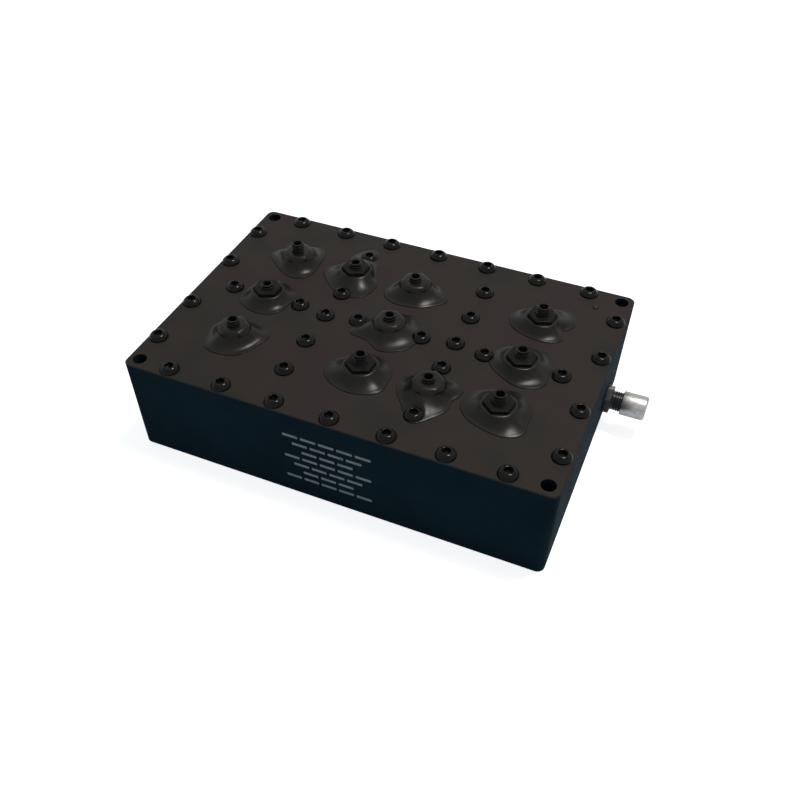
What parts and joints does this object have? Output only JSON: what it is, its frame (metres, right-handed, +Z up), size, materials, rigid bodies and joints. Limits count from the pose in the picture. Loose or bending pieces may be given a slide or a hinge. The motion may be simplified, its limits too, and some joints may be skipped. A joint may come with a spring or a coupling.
{
  "type": "cavity bandpass filter",
  "caption": "Black coaxial cavity bandpass filter: milled housing, screwed cover with sealed tuning screws, a coaxial jack at each end and a nickel dust cap.",
  "frame": {"origin": "centre of the underside of the housing", "axes": "+X along the length towards the capped jack, +Y to the back, +Z up through the cover"},
  "size_m": [0.1545, 0.0888, 0.0394],
  "materials": {
    "black_paint": "satin",
    "black_screw": "gloss",
    "painted_adjuster": "gloss",
    "sealant": "gloss",
    "silver_plate": "satin",
    "steel": "satin",
    "black_jack": "gloss",
    "white_insulator": "matte",
    "gold_contact": "gloss",
    "copper_wire": "satin",
    "nickel": "gloss",
    "rubber": "matte"
  },
  "bodies": {
    "filter": {"coupling_screw_1": "painted_adjuster", "coupling_screw_2": "painted_adjuster", "coupling_screw_3": "painted_adjuster", "coupling_screw_4": "painted_adjuster", "coupling_screw_5": "painted_adjuster", "coupling_sealant_1": "sealant", "coupling_sealant_2": "sealant", "coupling_sealant_3": "sealant", "coupling_sealant_4": "sealant", "coupling_sealant_5": "sealant", "cover": "black_paint", "cover_screws": "black_screw", "housing": "black_paint", "input_contact": "gold_contact", "input_insulator": "white_insulator", "input_jack": "black_jack", "input_tap_wire": "copper_wire", "lock_nuts": "painted_adjuster", "output_contact": "gold_contact", "output_insulator": "white_insulator", "output_jack": "black_jack", "output_tap_wire": "copper_wire", "resonator_1": "silver_plate", "resonator_2": "silver_plate", "resonator_3": "silver_plate", "resonator_4": "silver_plate", "resonator_5": "silver_plate", "resonator_6": "silver_plate", "resonator_screws": "steel", "tuning_screw_1": "painted_adjuster", "tuning_screw_2": "painted_adjuster", "tuning_screw_3": "painted_adjuster", "tuning_screw_4": "painted_adjuster", "tuning_screw_5": "painted_adjuster", "tuning_screw_6": "painted_adjuster", "tuning_sealant_1": "sealant", "tuning_sealant_2": "sealant", "tuning_sealant_3": "sealant", "tuning_sealant_4": "sealant", "tuning_sealant_5": "sealant", "tuning_sealant_6": "sealant"},
    "cap_disc": {"dust_cap_disc": "rubber"},
    "cap": {"dust_cap": "nickel"}
  },
  "joints": [
    {"name": "cap_travel", "type": "slide", "parent": "filter", "child": "cap_disc", "axis": [1, 0, 0], "range_m": [0, 0.0098]},
    {"name": "cap_turn", "type": "hinge", "parent": "cap_disc", "child": "cap", "pos_m": [0.0772, 0.0206, 0.0104], "axis": [1, 0, 0], "range_deg": [0, 5000.5]}
  ],
  "couplings": [
    {"joint": "cap_turn", "follows": "cap_travel", "rad_per_m": 8904.7}
  ]
}
